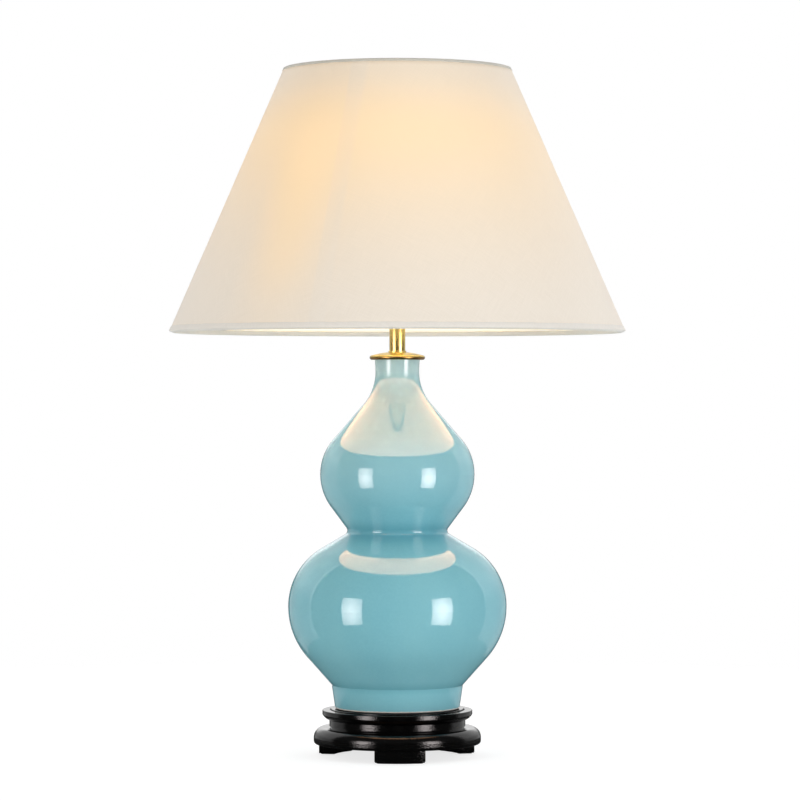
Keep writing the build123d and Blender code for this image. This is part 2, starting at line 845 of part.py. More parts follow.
insulator_bottom = bulb_bottom + bulb_tip_height
bulb_cap_bottom = insulator_bottom + bulb_insulator_height
glass_bottom = bulb_cap_bottom + bulb_cap_height
bulb_center = bulb_top - bulb_radius
glass_neck_radius = bulb_cap_radius - bulb_cap_wall - screw_gap

with BuildPart() as bulb_contact:
    with BuildSketch(Plane.XY.offset(bulb_bottom)):
        Circle(bulb_tip_radius)
    extrude(amount=bulb_tip_height)
    fillet(bulb_contact.edges().group_by(Axis.Z)[0], bulb_tip_height / 2)
save(bulb_contact, "bulb_contact")

with BuildPart() as bulb_insulator:
    with BuildSketch(Plane.XY.offset(insulator_bottom)):
        Circle(bulb_tip_radius)
    with BuildSketch(Plane.XY.offset(bulb_cap_bottom)):
        Circle(bulb_insulator_radius)
    loft()
save(bulb_insulator, "bulb_insulator")

with BuildPart() as bulb_cap:
    shoulder_top = bulb_cap_bottom + bulb_cap_radius - bulb_insulator_radius
    with BuildSketch(Plane.XZ):
        with BuildLine():
            Polyline(
                (0, bulb_cap_bottom),
                (bulb_insulator_radius, bulb_cap_bottom),
                (bulb_cap_radius, shoulder_top),
                (bulb_cap_radius, glass_bottom),
                (bulb_cap_radius - bulb_cap_wall, glass_bottom),
                (bulb_cap_radius - bulb_cap_wall, shoulder_top),
                (bulb_insulator_radius - bulb_cap_wall, bulb_cap_bottom + bulb_cap_wall),
                (0, bulb_cap_bottom + bulb_cap_wall),
                close=True,
            )
        make_face()
    revolve(axis=Axis.Z)
save(bulb_cap, "bulb_cap")


def glass_outline():
    """Right half of the outside of the glass, closed along the axis."""
    neck = (glass_neck_radius + bulb_neck_curve, glass_bottom + bulb_neck_rise)
    turn = -crossing_angle(
        (0, -bulb_center), bulb_radius, (neck[0], -neck[1]), bulb_neck_curve
    )
    with BuildLine() as outline:
        Line((0, shoulder_top), (glass_neck_radius, shoulder_top))
        Line((glass_neck_radius, shoulder_top), (glass_neck_radius, neck[1]))
        throat = CenterArc(neck, bulb_neck_curve, 180, turn)
        globe = CenterArc((0, bulb_center), bulb_radius, turn, 90 - turn)
        Line(throat @ 1, globe @ 0)
        Line((0, bulb_top), (0, shoulder_top))
    make_face(outline.edges())


with BuildSketch(Plane.XZ) as glass:
    glass_outline()

with BuildSketch(Plane.XZ) as glass_inside:
    glass_outline()
    mirror(about=Plane.YZ)
    offset(amount=-bulb_glass_wall, kind=Kind.INTERSECTION, mode=Mode.REPLACE)
    split(bisect_by=Plane.YZ)

with BuildPart() as bulb_glass:
    add(glass.sketch)
    revolve(axis=Axis.Z)
    add(glass_inside.sketch)
    revolve(axis=Axis.Z, mode=Mode.SUBTRACT)
    with BuildSketch(Plane.XY.offset(shoulder_top)):
        Circle(glass_neck_radius - bulb_glass_wall)
    extrude(amount=2 * bulb_glass_wall, mode=Mode.SUBTRACT)
save(bulb_glass, "bulb_glass")

with BuildPart() as bulb_stem:
    stem_bottom = shoulder_top
    with BuildSketch(Plane.XZ):
        with BuildLine():
            flare_radius = glass_neck_radius - bulb_glass_wall - screw_gap
            flare_height = flare_radius - bulb_stem_radius
            stem_top = glass_bottom + bulb_stem_height
            Line((0, stem_bottom), (flare_radius, stem_bottom))
            TangentArc(
                (flare_radius, stem_bottom),
                (bulb_stem_radius, stem_bottom + flare_height),
                tangent=(-1, 0),
            )
            Line((bulb_stem_radius, stem_bottom + flare_height), (bulb_stem_radius, stem_top))
            Line((bulb_stem_radius, stem_top), (0, stem_top))
            Line((0, stem_top), (0, stem_bottom))
        make_face()
    revolve(axis=Axis.Z)
save(bulb_stem, "bulb_stem")

with BuildPart() as bulb_filament:
    filament_bottom = stem_top + filament_lead
    filament_top = filament_bottom + filament_length
    with BuildSketch(Plane.XY.offset(filament_bottom)):
        with PolarLocations(filament_circle, filament_count):
            Circle(filament_radius)
    extrude(amount=filament_length)
    with BuildSketch(Plane.XY.offset(stem_top)):
        Circle(filament_wire_radius)
    extrude(amount=filament_lead + filament_length)
    for spoke_height in (filament_bottom, filament_top - 2 * filament_wire_radius):
        with BuildSketch(Plane.XY.offset(spoke_height)):
            with PolarLocations(filament_circle / 2, filament_count):
                Rectangle(filament_circle, 2 * filament_wire_radius)
        extrude(amount=2 * filament_wire_radius)
save(bulb_filament, "bulb_filament")

# ---------------------------------------------------------------- shade

ring_depth = panel_thickness + ring_wire_radius + glue_gap
ring_inset = ring_wire_radius + ring_edge_gap

with BuildPart() as shade_spider:
    wire_loop(ring_inset, ring_depth)
    hub_middle = (hub_bottom + hub_top) / 2
    arm_end = on_shade(ring_inset, ring_depth)
    for angle in arm_angles:
        with BuildLine(upright(angle)) as arm_path:
            FilletPolyline(
                (stud_flange_radius + lift_gap, hub_middle),
                (spider_arm_bend, hub_middle),
                arm_end,
                radius=spider_bend_radius,
            )
        with BuildSketch(Plane(origin=arm_path.wire() @ 0, z_dir=arm_path.wire() % 0)):
            Circle(spider_arm_radius)
        sweep(path=arm_path.wire())
    with BuildSketch(Plane.XY.offset(hub_bottom)):
        Circle(spider_hub_radius)
    extrude(amount=spider_hub_thickness)
    with BuildSketch(Plane.XY.offset(hub_bottom)):
        Circle(stud_thread_radius + lift_gap)
    extrude(amount=spider_hub_thickness, mode=Mode.SUBTRACT)
save(shade_spider, "shade_spider")

with BuildPart() as shade_bottom_ring:
    wire_loop(cone_length - ring_inset, ring_depth)
save(shade_bottom_ring, "shade_bottom_ring")

with BuildPart() as shade_lining:
    shade_strip(0, cone_length, cloth_thickness, panel_thickness)
save(shade_lining, "shade_lining")

with BuildPart() as shade_cover:
    shade_strip(0, cone_length, 0, cloth_thickness)
save(shade_cover, "shade_cover")

trim_inner = ring_depth + ring_wire_radius + glue_gap


def folded_trim(edge, inward, face):
    """Cloth tape folded over an edge of the shade and its wire ring."""
    outside = edge - inward * trim_thickness
    inside = edge + inward * trim_width
    shade_strip(outside, edge + inward * face, -trim_thickness, 0)
    shade_strip(outside, edge, 0, trim_inner)
    shade_strip(outside, inside, trim_inner, trim_inner + trim_thickness)


with BuildPart() as shade_top_trim:
    folded_trim(0, 1, top_trim_face)
    notch_half_width = spider_arm_radius + slip_gap
    notch_start = ring_edge_gap / 2
    notch_end = trim_width + slip_gap
    for angle in arm_angles:
        with BuildSketch(upright(angle)) as notch:
            with BuildLine():
                Polyline(
                    on_shade(notch_start, ring_depth),
                    on_shade(notch_end, ring_depth),
                    on_shade(notch_end, trim_inner + trim_width),
                    on_shade(notch_start, trim_inner + trim_width),
                    close=True,
                )
            make_face()
        extrude(amount=notch_half_width, both=True, mode=Mode.SUBTRACT)
save(shade_top_trim, "shade_top_trim")

with BuildPart() as shade_bottom_trim:
    folded_trim(cone_length, -1, trim_width)
save(shade_bottom_trim, "shade_bottom_trim")

# ---------------------------------------------------------------- finial

with BuildPart() as finial:
    finial_top = hub_top + finial_height
    tip_center = finial_top - finial_tip_radius
    ball_center = tip_center - finial_tip_radius / 2 - finial_ball_radius
    with BuildSketch(Plane.XZ):
        with Locations((finial_base_radius / 2, hub_top + finial_base_height / 2)):
            Rectangle(finial_base_radius, finial_base_height)
        with Locations((finial_neck_radius / 2, (hub_top + ball_center) / 2)):
            Rectangle(finial_neck_radius, ball_center - hub_top)
        with Locations((0, ball_center)):
            Circle(finial_ball_radius)
        with Locations((0, tip_center)):
            Circle(finial_tip_radius)
        split(bisect_by=Plane.YZ)
    revolve(axis=Axis.Z)
    bore_depth = stud_thread_length - spider_hub_thickness + finial_bore_spare
    with BuildSketch(Plane.XY.offset(hub_top)):
        Circle(stud_thread_radius + pivot_gap)
    extrude(amount=bore_depth, mode=Mode.SUBTRACT)
save(finial, "finial")
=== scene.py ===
"""Looks of the double gourd table lamp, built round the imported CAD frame, in metres."""

import json
from math import atan2, cos, hypot, pi, radians, sin

import bpy
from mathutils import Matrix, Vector


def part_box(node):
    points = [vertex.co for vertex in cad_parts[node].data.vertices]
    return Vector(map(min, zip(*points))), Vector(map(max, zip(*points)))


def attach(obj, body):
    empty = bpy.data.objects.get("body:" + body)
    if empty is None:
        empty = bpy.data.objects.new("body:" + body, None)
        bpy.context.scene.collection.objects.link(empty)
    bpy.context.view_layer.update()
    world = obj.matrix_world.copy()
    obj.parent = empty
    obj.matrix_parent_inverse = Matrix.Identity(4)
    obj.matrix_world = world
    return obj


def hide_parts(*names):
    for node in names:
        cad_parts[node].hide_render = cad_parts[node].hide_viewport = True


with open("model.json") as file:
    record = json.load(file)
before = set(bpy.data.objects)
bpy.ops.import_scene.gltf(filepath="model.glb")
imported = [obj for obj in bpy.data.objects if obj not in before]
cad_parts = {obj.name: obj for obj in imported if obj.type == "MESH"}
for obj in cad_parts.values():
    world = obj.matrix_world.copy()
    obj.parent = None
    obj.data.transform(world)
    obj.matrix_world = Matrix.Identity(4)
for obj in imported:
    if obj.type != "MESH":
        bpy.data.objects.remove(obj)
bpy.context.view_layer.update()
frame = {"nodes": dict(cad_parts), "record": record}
nodes_by_name = frame["nodes"]
scene = bpy.context.scene
mm = 0.001

# Shade, as part.py draws it
shade_top_radius = 0.11425
shade_bottom_radius = 0.2285
shade_bottom_height = 0.427
shade_height = 0.2626
shade_top_height = shade_bottom_height + shade_height
cone_angle = atan2(shade_bottom_radius - shade_top_radius, shade_height)
cone_length = hypot(shade_bottom_radius - shade_top_radius, shade_height)
panel_thickness = 1.0 * mm
ring_wire_radius = 1.5 * mm
arm_angles = [radians(a) for a in (90.0, 210.0, 330.0)]

# Its cloth and tapes
cloth_thickness = 0.6 * mm
hair = 0.02 * mm
tape_thickness = 0.5 * mm
tape_width = 5.0 * mm
top_tape_face = 2.5 * mm
tape_inner = panel_thickness + 2 * ring_wire_radius + 2 * hair
seam_angle = radians(-113.3)
lap_width = 14.0 * mm
lap_rise = 0.05 * mm

# The bulb's light on the cloth, painted on as a glow
glow_center = Vector((-0.018, -0.030, 0.605))
glow_strength = 0.0148
glow_softness = 0.036
streak_angle = radians(-125.0)
streak_half_width = radians(19.0)

# Vase
pinch_height = 0.2245
foot_groove_height = 0.0725
clay_edge_height = 0.0501
cap_bead_radius = 0.0258

# Camera, with its bearing from the lamp's axis
view_angle = radians(-91.95)
camera_distance, camera_height = 3.45, 0.365
lens, sensor_width, picture_width = 154.5, 36.0, 800
horizon_above_middle = 7.5  # pixels
lamp_left_of_middle = 0.0027

# ---------------------------------------------------------------- nodes


def rgb(red, green, blue):
    return (red, green, blue, 1.0)


def grey(level):
    return rgb(level, level, level)


class Nodes:
    """A shader node tree, and short ways to add to it."""

    def __init__(self, tree):
        self.tree = tree

    def node(self, kind, **settings):
        made = self.tree.nodes.new("ShaderNode" + kind)
        for name, value in settings.items():
            setattr(made, name, value)
        return made

    def feed(self, socket, value):
        """Gives a socket a constant, or links it to another node's output."""
        if isinstance(value, bpy.types.NodeSocket):
            self.tree.links.new(value, socket)
        elif value is not None:
            socket.default_value = value

    def fed(self, made, *values):
        """Feeds a node's first inputs in their order, and gives its first output."""
        for socket, value in zip(made.inputs, values):
            self.feed(socket, value)
        return made.outputs[0]

    def maths(self, operation, first, second=None, third=None):
        return self.fed(self.node("Math", operation=operation), first, second, third)

    def times(self, product, *factors):
        for factor in factors:
            product = self.maths("MULTIPLY", product, factor)
        return product

    def away_from(self, middle, value):
        return self.maths("ABSOLUTE", self.maths("SUBTRACT", value, middle))

    def along(self, axis, vector):
        made = self.node("SeparateXYZ")
        self.feed(made.inputs[0], vector)
        return made.outputs["XYZ".index(axis)]

    def number_from(self, operation, first, second=None):
        """The number that a vector node makes, such as a length."""
        made = self.node("VectorMath", operation=operation)
        self.fed(made, first, second)
        return made.outputs["Value"]

    def ray(self, kind):
        """1 on light paths of a kind, such as Camera or Glossy."""
        return self.node("LightPath").outputs[f"Is {kind} Ray"]

    def mix_shaders(self, share, first, second):
        return self.fed(self.node("MixShader"), share, first, second)


class Look(Nodes):
    """A procedural material: a Principled shader and the nodes that feed it."""

    def __init__(self, name, **constants):
        self.material = bpy.data.materials.new(name)
        self.material.use_nodes = True
        super().__init__(self.material.node_tree)
        self.shader = self.tree.nodes["Principled BSDF"]
        self.surface = self.tree.nodes["Material Output"].inputs["Surface"]
        self.place = self.node("TexCoord").outputs["Object"]
        for socket, value in constants.items():
            self.shader.inputs[socket.replace("_", " ")].default_value = value

    def set(self, socket, value):
        self.feed(self.shader.inputs[socket], value)

    def height(self):
        return self.along("Z", self.place)

    def upward(self):
        """How far the surface faces up, from -1 to 1."""
        return self.along("Z", self.node("NewGeometry").outputs["True Normal"])

    def uv(self, layer):
        return self.node("UVMap", uv_map=layer).outputs[0]

    def stretch(self, scale, vector=None):
        made = self.node("Mapping")
        self.feed(made.inputs["Scale"], scale)
        self.feed(made.inputs["Vector"], vector or self.place)
        return made.outputs["Vector"]

    def noise(self, scale, detail=3.0, roughness=0.5, vector=None):
        made = self.node("TexNoise")
        self.feed(made.inputs["Scale"], scale)
        self.feed(made.inputs["Detail"], detail)
        self.feed(made.inputs["Roughness"], roughness)
        self.feed(made.inputs["Vector"], vector or self.place)
        return made.outputs["Fac"]

    def waves(self, period, direction, vector, distortion=0.0):
        """Sine bands of a period in metres; a wave node's band is 2 pi / 20 long at scale 1."""
        made = self.node("TexWave", wave_type="BANDS", bands_direction=direction)
        self.feed(made.inputs["Scale"], pi / 10 / period)
        self.feed(made.inputs["Distortion"], distortion)
        self.feed(made.inputs["Vector"], vector)
        return made.outputs["Fac"]

    def span(self, value, low, high, start=0.0, end=1.0):
        """Maps low..high smoothly to start..end, and holds the ends."""
        made = self.node("MapRange", interpolation_type="SMOOTHSTEP", clamp=True)
        return self.fed(made, value, low, high, start, end)

    def mix(self, share, first, second):
        """Colour between two colours, each a constant or an output."""
        made = self.node("Mix", data_type="RGBA", clamp_factor=True)
        for number, value in ((0, share), (6, first), (7, second)):
            self.feed(made.inputs[number], value)
        return made.outputs[2]

    def bump(self, height, distance, strength=1.0, under=None):
        made = self.node("Bump")
        self.feed(made.inputs["Strength"], strength)
        self.feed(made.inputs["Distance"], distance)
        self.feed(made.inputs["Height"], height)
        self.feed(made.inputs["Normal"], under)
        return made.outputs["Normal"]


# ---------------------------------------------------------------- materials


def paint_bead_reflection(look, colour, bead_radius):
    """Paints the outside of a bead brown where it turns down: a painted dark reflection."""
    downward = look.span(look.upward(), 0.1, 0.75, 0.85, 0.0)
    from_axis = look.number_from("LENGTH", look.stretch((1.0, 1.0, 0.0)))
    outside = look.span(from_axis, bead_radius - 0.5 * mm, bead_radius + 0.5 * mm)
    return look.mix(look.times(downward, outside), colour, rgb(0.26, 0.135, 0.045))


def metal(name, pale, deep, roughness, grain, scratch_depth, drawn_out=0.0, bead_radius=None):
    """Metal whose colour and roughness vary a little, with fine scratches drawn round it, and,
    given a bead radius, a painted dark reflection on the bead.
    """
    look = Look(name, Metallic=1.0, Anisotropic=drawn_out)
    patches = look.noise(38.0, 4.0, 0.6)
    scratches = look.noise(1.0, 2.0, 0.5, look.stretch(grain))
    colour = look.mix(look.span(patches, 0.3, 0.75), pale, deep)
    if bead_radius:
        colour = paint_bead_reflection(look, colour, bead_radius)
    look.set("Base Color", colour)
    smears = look.maths("ADD", look.span(patches, 0.2, 0.8, 0.0, 0.06), roughness)
    look.set("Roughness", look.maths("MULTIPLY_ADD", scratches, 0.05, smears))
    look.set("Normal", look.bump(scratches, scratch_depth, 0.5))
    return look.material


def lacquer():
    """Black lacquer over wood: the orange peel of a sprayed coat, settled where it faces up."""
    look = Look("black_lacquer", IOR=1.45)
    grain = look.noise(1.0, 5.0, 0.6, look.stretch((60.0, 60.0, 900.0)))
    black, brownish = rgb(0.0007, 0.0008, 0.0008), rgb(0.0034, 0.0031, 0.0029)
    look.set("Base Color", look.mix(look.span(grain, 0.35, 0.8), black, brownish))
    look.set("Roughness", look.span(look.noise(170.0, 2.0), 0.3, 0.7, 0.06, 0.11))
    unsettled = look.span(look.upward(), 0.75, 0.98, 1.0, 0.15)
    peel = look.bump(look.times(look.noise(760.0, 2.0), unsettled), 0.20 * mm, 0.7)
    look.set("Normal", look.bump(grain, 0.02 * mm, 0.5, peel))
    return look.material


def glaze():
    """Celadon-blue glaze: deeper where it pools, with painted light on the upper gourd and neck,
    painted shade on the shoulders, and bare clay at the foot.
    """
    look = Look("glaze", IOR=1.6)
    height = look.height()

    def between(rise_start, rise_end, fall_start, fall_end, most):
        rising = look.span(height, rise_start, rise_end, 0.0, most)
        return look.times(rising, look.span(height, fall_start, fall_end, 1.0, 0.0))

    clouds = look.noise(1.0, 3.0, 0.55, look.stretch((11.0, 11.0, 6.0)))
    mottle = look.noise(420.0, 3.0, 0.6)
    colour = look.mix(
        look.span(clouds, 0.3, 0.7), rgb(0.185, 0.460, 0.540), rgb(0.220, 0.505, 0.575)
    )
    at_pinch = look.span(look.away_from(pinch_height, height), 0.003, 0.016, 0.55, 0.0)
    at_foot = look.span(look.away_from(foot_groove_height, height), 0.0, 0.008, 0.4, 0.0)
    # Painted light: the upper gourd paler round its widest part
    painted_light_upper_gourd = between(0.238, 0.290, 0.300, 0.330, 0.5)
    # Painted shade: the shoulders darker, under the lampshade
    painted_shade_shoulders = between(0.300, 0.335, 0.360, 0.380, 0.5)
    # Painted light: the neck paler, where light and reflection fall on it
    painted_light_neck = look.span(height, 0.368, 0.388, 0.0, 0.95)
    for share, tone in (
        (look.span(mottle, 0.35, 0.7, 0.0, 0.22), rgb(0.250, 0.550, 0.615)),
        (at_pinch, rgb(0.095, 0.325, 0.405)),
        (at_foot, rgb(0.115, 0.355, 0.430)),
        (painted_light_upper_gourd, rgb(0.31, 0.54, 0.60)),
        (painted_shade_shoulders, rgb(0.160, 0.375, 0.435)),
        (painted_light_neck, rgb(0.50, 0.68, 0.70)),
    ):
        colour = look.mix(share, colour, tone)
    uneven = look.maths("MULTIPLY_ADD", look.noise(240.0, 2.0), 1.2 * mm, height)
    bare = look.span(uneven, clay_edge_height, clay_edge_height + 0.5 * mm, 1.0, 0.0)
    clay = look.mix(look.noise(1800.0, 2.0), rgb(0.64, 0.61, 0.55), rgb(0.78, 0.75, 0.69))
    look.set("Base Color", look.mix(bare, colour, clay))
    gloss = look.span(clouds, 0.2, 0.8, 0.035, 0.075)
    look.set("Roughness", look.maths("MAXIMUM", look.times(bare, 0.75), gloss))
    waviness = look.bump(look.noise(26.0, 2.0, 0.4), 0.30 * mm, 0.3)
    look.set("Normal", look.bump(look.noise(900.0, 2.0), 0.012 * mm, 0.5, waviness))
    return look.material


def felt():
    look = Look("felt", Sheen_Weight=0.35, Sheen_Roughness=0.5, Roughness=0.96)
    fibres = look.noise(1.0, 6.0, 0.75, look.stretch((1700.0, 900.0, 1300.0)))
    dark, pale = rgb(0.008, 0.010, 0.009), rgb(0.028, 0.034, 0.030)
    look.set("Base Color", look.mix(look.span(fibres, 0.3, 0.7), dark, pale))
    look.set("Normal", look.bump(fibres, 0.4 * mm, 0.9))
    return look.material


def moulded(name, deep, pale, smoothest, roughest, pebbling=900.0, depth=0.04 * mm):
    """Plastic, rubber, fibre or porcelain: fine pebbling and uneven gloss."""
    look = Look(name)
    pebbles = look.noise(pebbling, 3.0, 0.55)
    look.set("Base Color", look.mix(look.span(look.noise(60.0, 4.0, 0.6), 0.3, 0.7), deep, pale))
    look.set("Roughness", look.span(pebbles, 0.3, 0.7, smoothest, roughest))
    look.set("Normal", look.bump(pebbles, depth, 0.6))
    return look.material


def bulb_glass():
    """Clear glass that lets the lamp's own light out."""
    look = Look("bulb_glass", IOR=1.45, Transmission_Weight=1.0)
    film = look.noise(55.0, 3.0, 0.6)
    look.set("Base Color", look.mix(film, rgb(1.0, 0.985, 0.95), rgb(0.97, 0.94, 0.88)))
    look.set("Roughness", look.span(film, 0.3, 0.7, 0.0, 0.05))
    clear = look.node("BsdfTransparent").outputs[0]
    look.feed(look.surface, look.mix_shaders(look.ray("Shadow"), look.shader.outputs[0], clear))
    return look.material


def filament():
    look = Look("filament", Roughness=0.5, Emission_Color=rgb(1.0, 0.62, 0.25))
    coil = look.waves(0.6 * mm, "Z", look.place)
    look.set("Base Color", look.mix(coil, rgb(0.25, 0.2, 0.15), rgb(0.5, 0.42, 0.3)))
    look.set("Emission Strength", look.span(coil, 0.0, 1.0, 22.0, 40.0))
    return look.material


def weave(name, pale, deep, thread):
    """Plain weave on a stiff backing, with its colour and its slubs, the thicker stretches."""
    look = Look(
        name, Roughness=0.88,
        Sheen_Weight=0.28, Sheen_Roughness=0.4, Sheen_Tint=rgb(0.82, 0.92, 1.0),
    )
    flat = look.uv("flat")
    threads = look.times(*(look.waves(thread, axis, flat, 0.35) for axis in "XY"))
    slubs = look.maths("ADD", *(
        look.noise(1.0, 3.0, 0.6, look.stretch(scale, flat))
        for scale in ((1500.0, 42.0, 1.0), (42.0, 1500.0, 1.0))
    ))
    colour = look.mix(look.span(slubs, 0.75, 1.25), deep, pale)
    colour = look.mix(look.span(threads, 0.0, 0.6, 0.10, 0.0), colour, rgb(0.55, 0.51, 0.43))
    look.set("Base Color", colour)
    look.set("Normal", look.bump(threads, 0.08 * mm, 0.6, look.bump(slubs, 0.12 * mm, 0.5)))
    return look, colour, slubs


def tape(name, pale, deep):
    return weave(name, pale, deep, 0.4 * mm)[0].material


def shade_cloth():
    """Ivory cloth with the bulb's light painted on as an emitted glow, dimmer over the lap."""
    look, colour, slubs = weave(
        "shade_cloth", rgb(0.82, 0.79, 0.735), rgb(0.785, 0.752, 0.69), 0.55 * mm
    )
    height = look.height()
    polar = look.uv("polar")
    past_seam = look.along("X", polar)
    whole_turn = look.maths(
        "MULTIPLY_ADD", look.along("Y", polar), 2 * pi * sin(cone_angle), 2 * pi * shade_top_radius
    )
    before_seam = look.maths("SUBTRACT", whole_turn, past_seam)
    # Where the cloth lies doubled over the lap; the painted glow is dimmed there, a painted shadow
    # band
    doubled = look.maths(
        "MAXIMUM",
        look.span(past_seam, lap_width - 5 * mm, lap_width + 6 * mm, 1.0, 0.0),
        look.span(before_seam, 0.0, 5 * mm, 1.0, 0.0),
    )
    # A thin painted shadow along the lap's edge, only where the glow is
    seam_edge_shadow = look.times(
        look.span(past_seam, 0.1 * mm, 1.0 * mm, 0.05, 0.0), look.span(height, 0.56, 0.64)
    )
    colour = look.mix(seam_edge_shadow, colour, rgb(0.50, 0.45, 0.37))
    # Painted glow, by the bulb's distance and its light's angle of arrival, in the shade's own
    # coordinates
    away = look.fed(look.node("VectorMath", operation="SUBTRACT"), look.place, glow_center)
    own_normal = look.node("TexCoord").outputs["Normal"]
    squared = look.number_from("DOT_PRODUCT", away, away)
    outward = look.number_from("DOT_PRODUCT", away, own_normal)
    facing = look.maths("DIVIDE", outward, look.maths("SQRT", squared))
    arrival = look.maths("DIVIDE", facing, look.maths("ADD", squared, glow_softness))
    sideways = look.maths("ABSOLUTE", look.along("X", own_normal))
    glow = look.times(
        arrival, glow_strength,
        look.span(height, 0.61, 0.69, 1.0, 0.46),
        look.span(doubled, 0.0, 1.0, 1.0, 0.85),
        look.span(sideways, 0.50, 0.86, 1.0, 0.88),
        look.span(slubs, 0.7, 1.3, 0.96, 1.04),
    )
    # A painted glow streak beside the seam, strongest halfway up
    bearing = look.maths("ARCTAN2", look.along("Y", look.place), look.along("X", look.place))
    glow_streak = look.times(
        look.span(look.away_from(streak_angle, bearing), 0.0, streak_half_width, 0.085, 0.0),
        look.span(height, 0.57, 0.66, 1.0, 0.0),
        look.span(height, 0.43, 0.50, 0.4, 1.0),
    )
    glow = look.maths("ADD", glow, glow_streak)
    # The painted glow also warms the base colour
    look.set("Base Color", look.mix(look.span(glow, 0.0, 0.30), colour, rgb(0.81, 0.715, 0.54)))
    look.set("Emission Color", rgb(1.0, 0.44, 0.03))
    look.set("Emission Strength", look.maths("MAXIMUM", glow, 0.0))
    return look.material


def lining():
    """Smooth pale laminate, lit by the bulb, with a painted glow: bright in the glaze's
    reflections, and seen straight on near the rim.
    """
    look = Look("shade_lining", Sheen_Weight=0.05)
    patches = look.span(look.noise(14.0), 0.3, 0.7)
    look.set("Base Color", look.mix(patches, rgb(0.82, 0.80, 0.74), rgb(0.84, 0.82, 0.765)))
    look.set("Roughness", look.span(look.noise(700.0, 2.0), 0.3, 0.7, 0.55, 0.65))
    # Painted glow: strong for reflections, and for the camera only near the rim
    glossy = look.ray("Glossy")
    look.set("Emission Color", look.mix(glossy, rgb(1.0, 0.88, 0.66), rgb(1.0, 0.51, 0.27)))
    painted_glow_near_rim = look.span(look.height(), shade_bottom_height, 0.50, 0.66, 0.0)
    seen = look.times(look.ray("Camera"), painted_glow_near_rim)
    look.set("Emission Strength", look.maths("MULTIPLY_ADD", glossy, 5.4, seen))
    look.material.cycles.emission_sampling = "NONE"
    return look.material


# Pale and deep colour, roughness, how fine the grain is each way, depth of the scratches,
# and for brass how far they draw out its reflections
brass = (
    rgb(0.96, 0.74, 0.27), rgb(0.92, 0.67, 0.21), 0.14, (260.0, 260.0, 5200.0), 0.02 * mm, 0.85
)
metals = {
    "zinc_steel": (
        rgb(0.62, 0.63, 0.66), rgb(0.45, 0.46, 0.49), 0.25, (700.0, 700.0, 2600.0), 0.04 * mm
    ),
    "contact_brass": (
        rgb(0.80, 0.58, 0.28), rgb(0.62, 0.43, 0.20), 0.22, (900.0, 900.0, 3000.0), 0.03 * mm
    ),
    "bulb_metal": (
        rgb(0.80, 0.80, 0.78), rgb(0.62, 0.62, 0.60), 0.18, (500.0, 500.0, 2400.0), 0.04 * mm
    ),
    "shade_wire": (
        rgb(0.90, 0.66, 0.30), rgb(0.80, 0.55, 0.22), 0.16, (1500.0, 1500.0, 1500.0), 0.03 * mm
    ),
    "polished_brass": brass,
}
# Deep and pale colour, least and most roughness, how fine the pebbling is and its depth
mouldings = {
    "gasket_rubber": (rgb(0.022, 0.021, 0.020), rgb(0.040, 0.038, 0.036), 0.6, 0.8),
    "black_plastic": (rgb(0.010, 0.010, 0.011), rgb(0.022, 0.021, 0.021), 0.28, 0.42),
    "bulb_insulation": (rgb(0.006, 0.006, 0.008), rgb(0.014, 0.014, 0.017), 0.1, 0.2),
    "fibre": (rgb(0.30, 0.20, 0.11), rgb(0.42, 0.30, 0.18), 0.7, 0.9, 500.0, 0.1 * mm),
    "porcelain": (rgb(0.74, 0.72, 0.67), rgb(0.84, 0.82, 0.78), 0.12, 0.25, 300.0, 0.03 * mm),
}
materials = {
    **{name: metal(name, *values) for name, values in metals.items()},
    **{name: moulded(name, *values) for name, values in mouldings.items()},
    # The cap's bead gets a painted dark reflection in brown
    "vase_cap": metal("vase_cap_brass_with_painted_reflection", *brass, bead_radius=cap_bead_radius),
    "black_lacquer": lacquer(),
    "felt": felt(),
    "glaze": glaze(),
    "bulb_glass": bulb_glass(),
    "filament": filament(),
    "shade_cloth": shade_cloth(),
    "shade_bottom_tape": tape("shade_bottom_tape", rgb(0.83, 0.79, 0.73), rgb(0.79, 0.75, 0.69)),
    # The top tape is the same tape in a darker tone: painted shade at its fold
    "shade_top_tape": tape("shade_top_tape", rgb(0.62, 0.60, 0.53), rgb(0.56, 0.54, 0.48)),
    "shade_lining": lining(),
}

material_of = {part["node"]: part["material_slot"] for part in frame["record"]["subparts"]}
material_of["vase_cap"] = "vase_cap"
for node, thing in nodes_by_name.items():
    for place in thing.material_slots:
        place.link = "OBJECT"
        place.material = materials[material_of[node]]

# ---------------------------------------------------------------- pieces


def spread(first, last, count):
    return [first + (last - first) * step / count for step in range(count + 1)]


def add_object(name, data):
    thing = bpy.data.objects.new(name, data)
    scene.collection.objects.link(thing)
    return thing


def add_piece(name, mesh, material, body, node):
    """Puts a mesh in the scene, riding on a body and standing for a CAD node."""
    piece = add_object(name, mesh)
    mesh.materials.append(materials[material])
    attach(piece, body)
    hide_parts(node)
    return piece


def on_shade(along, depth):
    """Radius and height, from the top edge down the cone and inwards from its outside."""
    radius = shade_top_radius + along * sin(cone_angle) - depth * cos(cone_angle)
    height = shade_top_height - along * cos(cone_angle) - depth * sin(cone_angle)
    return radius, height


apex_to_top = shade_top_radius / sin(cone_angle)


